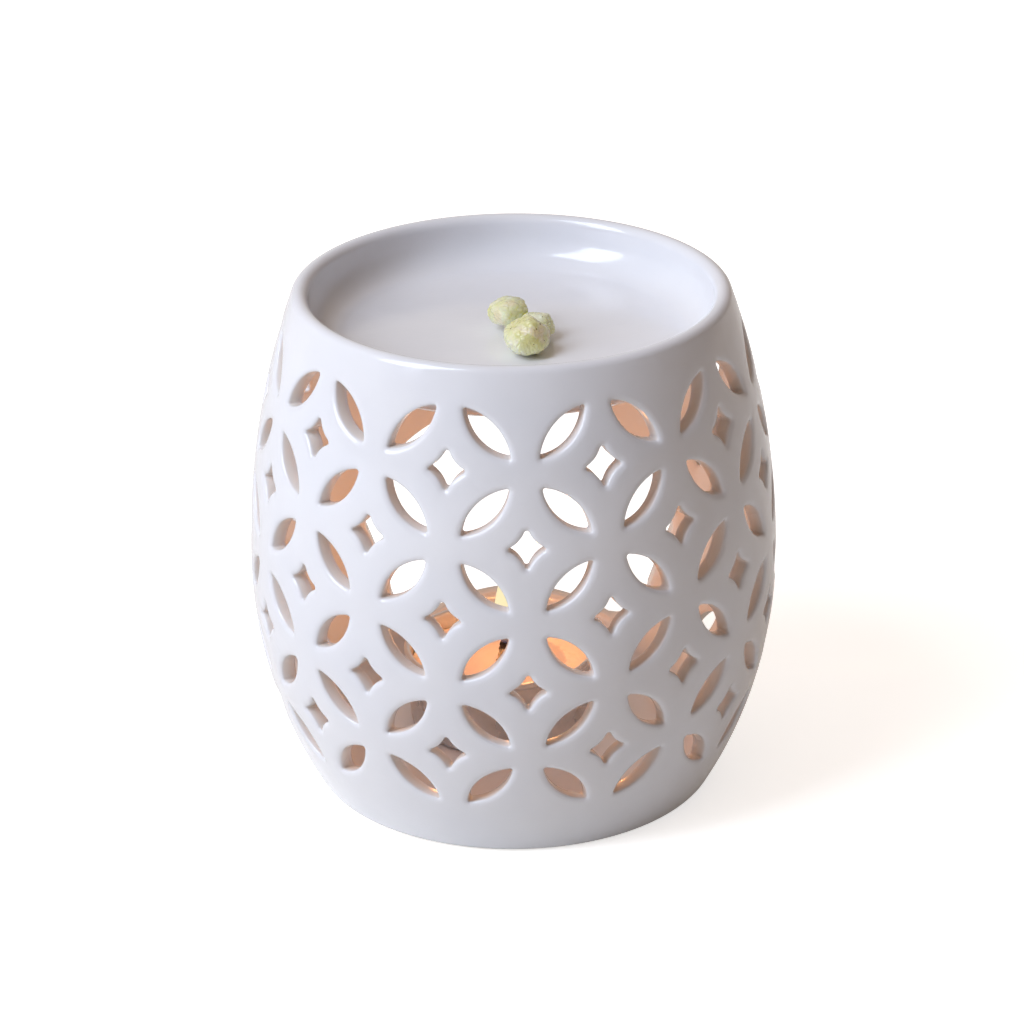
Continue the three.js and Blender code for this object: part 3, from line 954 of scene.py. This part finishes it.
def braided_cord_tree():
    """Strands wound about the piece's own line."""
    tree, given = new_geometry_tree("Braided cord", [
        ("Strands", "Int"), ("Turns", "Float"), ("Strand Radius", "Float"), ("Wind Radius", "Float"),
        ("Points", "Int"), ("Cotton", "Material"),
    ])
    line = add(tree, "GeometryNodeMeshToCurve", {0: given["Geometry"]}).outputs[0]
    even = add(tree, "GeometryNodeResampleCurve", {"Curve": line, "Count": given["Points"]}).outputs[0]
    share = add(tree, "GeometryNodeSplineParameter").outputs["Factor"]
    inputs = {"Geometry": even, "Amount": given["Strands"]}
    copies = add(tree, "GeometryNodeDuplicateElements", inputs, domain="SPLINE")
    start = maths(tree, "DIVIDE", copies.outputs["Duplicate Index"], given["Strands"])
    wound = maths(tree, "ADD", maths(tree, "MULTIPLY", share, given["Turns"]), start)
    angle = maths(tree, "MULTIPLY", wound, 2 * math.pi)
    offset = add(tree, "ShaderNodeCombineXYZ", {
        0: maths(tree, "MULTIPLY", maths(tree, "COSINE", angle), given["Wind Radius"]),
        1: maths(tree, "MULTIPLY", maths(tree, "SINE", angle), given["Wind Radius"]),
    }).outputs[0]
    inputs = {"Geometry": copies.outputs[0], "Offset": offset}
    moved = add(tree, "GeometryNodeSetPosition", inputs).outputs[0]
    inputs = {"Resolution": 8, "Radius": given["Strand Radius"]}
    section = add(tree, "GeometryNodeCurvePrimitiveCircle", inputs).outputs[0]
    inputs = {0: moved, 1: section, "Fill Caps": True}
    strands = add(tree, "GeometryNodeCurveToMesh", inputs).outputs[0]
    return finished(tree, strands, given["Cotton"])


def braided_wick(cotton):
    """Three strands, upright in the wax and bent over above it."""
    strand, bend = WICK_RADIUS * 0.52, 1.7
    bottom, top = TAB_BASE + strand, WAX_TOP + WICK_ABOVE_WAX - strand
    count = 24
    line = []
    for i in range(count + 1):
        height = bottom + (top - bottom) * i / count
        share = max(0.0, (height - WAX_TOP) / WICK_ABOVE_WAX)
        line.append((WICK_LEAN * share ** bend, 0, height))
    mesh = bpy.data.meshes.new("wick_line")
    mesh.from_pydata(line, [(i, i + 1) for i in range(count)], [])
    piece = linked("tealight_wick_braided", mesh)
    return run_geometry_tree(piece, braided_cord_tree(), {
        "Strands": 3, "Turns": 5.0, "Strand Radius": strand, "Wind Radius": WICK_RADIUS - strand,
        "Points": 90, "Cotton": cotton,
    })


def flame_body():
    """A slender drop, widest low down and drawn to a point."""
    count, lowness, taper = 28, 0.62, 0.35
    profile = [(0, FLAME_BASE)]
    for i in range(1, count):
        share = i / count
        width = math.sin(math.pi * share ** lowness) * (1 - taper * share)
        profile.append((FLAME_RADIUS * width, FLAME_BASE + (FLAME_TOP - FLAME_BASE) * share))
    profile.append((0, FLAME_TOP))
    flame = lathe("flame", profile, 40)
    lean, sway = 0.7 * WICK_LEAN, 0.25 * WICK_LEAN
    for vertex in flame.data.vertices:
        share = (vertex.co.z - FLAME_BASE) / (FLAME_TOP - FLAME_BASE)
        vertex.co.x += lean + sway * math.sin(math.pi * share)
    return flame


# Resin

def tear(name, node, sides, seed):
    """A lump of resin with blunt broken faces, in the space of its solid."""
    low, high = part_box(node)
    middle, half = (low + high) / 2, (high - low) / 2
    noise.seed_set(seed)
    nearest, spread, under = 0.72, 0.16, 0.9
    planes = []
    for _ in range(sides):
        planes.append((noise.random_unit_vector(), nearest + spread * noise.random()))
    planes.append((Vector((0, 0, -1)), under))
    bm = bmesh.new()
    bmesh.ops.create_icosphere(bm, subdivisions=6, radius=1.0)
    sharpness = 26
    inset, lump_depth, chip_depth, chip_width = 0.93, 0.035, 0.12, 0.3
    for vertex in bm.verts:
        ray = vertex.co.normalized()
        pull = 1.0
        for normal, distance in planes:
            facing = normal.dot(ray)
            if facing > 0:
                pull += (facing / distance) ** sharpness
        reach = pull ** (-1 / sharpness)
        lumps = noise.fractal(ray * 2.2 + Vector((seed, 0, 0)), 1.0, 2.0, 5)
        chips = noise.voronoi(ray * 3.1 + Vector((0, seed, 0)))[0]
        reach *= inset + lump_depth * lumps - chip_depth * max(0.0, chip_width - chips[1] + chips[0])
        vertex.co = ray * reach
    widest = [max(abs(v.co[k]) for v in bm.verts) for k in range(3)]
    for vertex in bm.verts:
        for k in range(3):
            vertex.co[k] = middle[k] + vertex.co[k] / widest[k] * half[k]
    return object_of(name, bm)


# Placing

def placed(piece, body, node, finish):
    """The piece in its finish, on its body, in the place of its node."""
    piece.data.materials.clear()
    piece.data.materials.append(finish)
    shade_smooth(piece)
    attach(piece, body)
    if node:
        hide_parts(node)
    return piece


glaze = porcelain_glaze()
placed(burner_body(glaze), "burner", "burner_body", glaze)

placed(at_cup(foil_cup()), "tealight", "tealight_cup", pressed_foil())
placed(at_cup(wax_body()), "tealight", "tealight_wax", candle_wax())
placed(at_cup(tab_plate()), "tealight", "wick_tab", stamped_steel())
cotton = charred_cotton()
placed(at_cup(braided_wick(cotton)), "tealight", "tealight_wick", cotton)
flame = placed(at_cup(flame_body()), "tealight", None, burning_gas())
flame.visible_shadow = False
flame.visible_diffuse = False

resin = dusty_resin()
for place, sides, seed in (("back", 9, 3), ("front", 11, 4), ("small", 8, 5)):
    node = f"resin_tear_{place}"
    placed(tear(f"resin_{place}", node, sides, seed), "resin", node, resin)


# Stage, light and camera

POT_MIDDLE = Vector((0, 0, 55 * MM))
WINDOW = Vector((-0.66, -0.37, 0.70)).normalized() * 1.6
BRIGHT_SIDE = (-0.62, 0.52, 0.58)
MIRRORED_WHITE = 0.3
FADE_START = 0.3
FADE_END = 1.2


def lamp(name, kind, energy, tint, place, size, aim=None):
    light = bpy.data.lights.new(name, kind)
    light.energy = energy
    light.color = colour(*tint)[:3]
    piece = linked(name, light)
    piece.location = place
    if aim is not None:
        piece.rotation_euler = (aim - place).to_track_quat("-Z", "Y").to_euler()
    if kind == "AREA":
        light.shape = "RECTANGLE"
        light.size, light.size_y = size
    else:
        light.shadow_soft_size = size
    return piece


def white_share(tree):
    """How much white is shown: all to the camera, some in reflections, none to the pot's light."""
    seen = add(tree, "ShaderNodeLightPath").outputs
    mirrored = maths(tree, "MAXIMUM", seen["Is Glossy Ray"], seen["Is Transmission Ray"])
    dimmed = maths(tree, "MULTIPLY", mirrored, MIRRORED_WHITE)
    return maths(tree, "MAXIMUM", seen["Is Camera Ray"], dimmed)


def table():
    """A white table that keeps the shadow under the pot and fades into plain white further out."""
    bpy.ops.mesh.primitive_plane_add(size=8, location=(0, 0, 0))
    floor = bpy.context.object
    floor.name = "table"
    material, tree, shader = new_finish("table_white", Roughness=0.9, Specular_IOR_Level=0.1)
    shader.inputs["Base Color"].default_value = colour(242, 240, 235)
    shader.inputs["Emission Color"].default_value = (1, 1, 1, 1)
    where = add(tree, "ShaderNodeTexCoord").outputs["Object"]
    distance = add(tree, "ShaderNodeVectorMath", {0: where}, operation="LENGTH").outputs["Value"]
    glow = ranged(tree, distance, FADE_START, FADE_END, 0.7, 1.0)
    feed(tree, shader, Emission_Strength=maths(tree, "MULTIPLY", white_share(tree), glow))
    floor.data.materials.append(material)


def room():
    """White behind the pot, and a dim warm room round it, brightest above, on the left and behind."""
    world = bpy.data.worlds.new("room")
    bpy.context.scene.world = world
    world.use_nodes = True
    tree = world.node_tree
    tree.nodes.clear()
    where = add(tree, "ShaderNodeTexCoord").outputs["Generated"]
    inputs = {0: where, 1: BRIGHT_SIDE}
    facing = add(tree, "ShaderNodeVectorMath", inputs, operation="DOT_PRODUCT").outputs["Value"]
    brightness = ranged(tree, facing, -0.6, 1.0)
    inputs = {
        "Color": mixed(tree, brightness, colour(255, 190, 138), colour(255, 240, 226)),
        "Strength": ranged(tree, brightness, 0.0, 1.0, 0.05, 0.52),
    }
    soft = add(tree, "ShaderNodeBackground", inputs)
    white = add(tree, "ShaderNodeBackground", {"Color": (1, 1, 1, 1), "Strength": 1.0})
    inputs = {0: white_share(tree), 1: soft.outputs[0], 2: white.outputs[0]}
    both = add(tree, "ShaderNodeMixShader", inputs)
    add(tree, "ShaderNodeOutputWorld", {"Surface": both.outputs[0]})


def camera():
    """The photograph's viewpoint, worked out from the stars of the lattice and the outline."""
    azimuth, elevation, roll = (math.radians(a) for a in (-2.85, 24.14, -0.486))
    distance, aim_height, aim_left = 792.2 * MM, 54.68 * MM, 0.2444 * MM
    focal_pixels, image_pixels = 4006.0, 1024
    data = bpy.data.cameras.new("camera")
    data.sensor_width = 36
    data.lens = focal_pixels / image_pixels * data.sensor_width
    data.clip_start, data.clip_end = 0.05, 50
    piece = linked("camera", data)
    back = Vector((
        math.sin(azimuth) * math.cos(elevation),
        -math.cos(azimuth) * math.cos(elevation),
        math.sin(elevation),
    ))
    right = Vector((math.cos(azimuth), math.sin(azimuth), 0))
    up = back.cross(right)
    aim = Vector((0, 0, aim_height)) - aim_left * right
    turn = Matrix((right, up, back)).transposed().to_4x4() @ Matrix.Rotation(roll, 4, "Z")
    piece.matrix_world = Matrix.Translation(aim + back * distance) @ turn
    bpy.context.scene.camera = piece


table()
room()
lamp("window", "AREA", 21, (226, 238, 255), WINDOW, size=(0.65, 1.3), aim=POT_MIDDLE)
FLAME_MIDDLE = (CUP_PLACE.x + WICK_LEAN, CUP_PLACE.y, FLAME_BASE + 12 * MM)
candle = lamp("candle", "POINT", 0.024, (255, 170, 98), FLAME_MIDDLE, size=3 * MM)
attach(candle, "tealight")
camera()
bpy.context.scene.view_settings.view_transform = "Standard"
